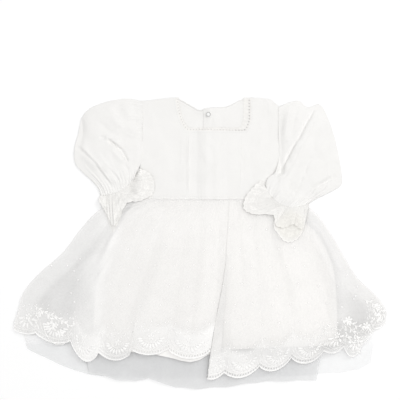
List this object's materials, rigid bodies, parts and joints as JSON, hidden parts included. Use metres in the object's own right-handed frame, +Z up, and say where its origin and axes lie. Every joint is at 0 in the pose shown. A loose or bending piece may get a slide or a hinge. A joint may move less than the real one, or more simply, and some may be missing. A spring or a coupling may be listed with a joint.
{
  "type": "flower girl dress",
  "caption": "Baby's white flower girl dress laid flat: square-necked bodice, full sleeves folded in with lace cuffs, and a flared skirt of lining, net and scalloped embroidered net.",
  "frame": {"origin": "middle of the underside that rests on the floor", "axes": "+X across the dress towards the right of the picture, +Y from the hem to the neck, +Z up from the floor through the front of the dress"},
  "size_m": [0.5426, 0.424, 0.0188],
  "materials": {
    "cotton": "plain woven white cotton, matt and slightly creased",
    "net": "fine white net, soft and see-through, with an embroidered border at its hem",
    "lace": "white cotton lace with corded edges",
    "stud": "clear milky plastic press stud"
  },
  "bodies": {
    "root": {"overlay_back": "net", "overlay_front": "net", "lining_back": "cotton", "lining_front": "cotton", "petticoat_back": "net", "petticoat_front": "net", "back_bodice_left": "cotton", "back_bodice_right": "cotton", "front_bodice": "cotton", "neck_lace": "lace", "sleeve_left": "cotton", "sleeve_right": "cotton", "cuff_lace_left": "lace", "cuff_lace_right": "lace", "snap": "stud"}
  },
  "joints": []
}
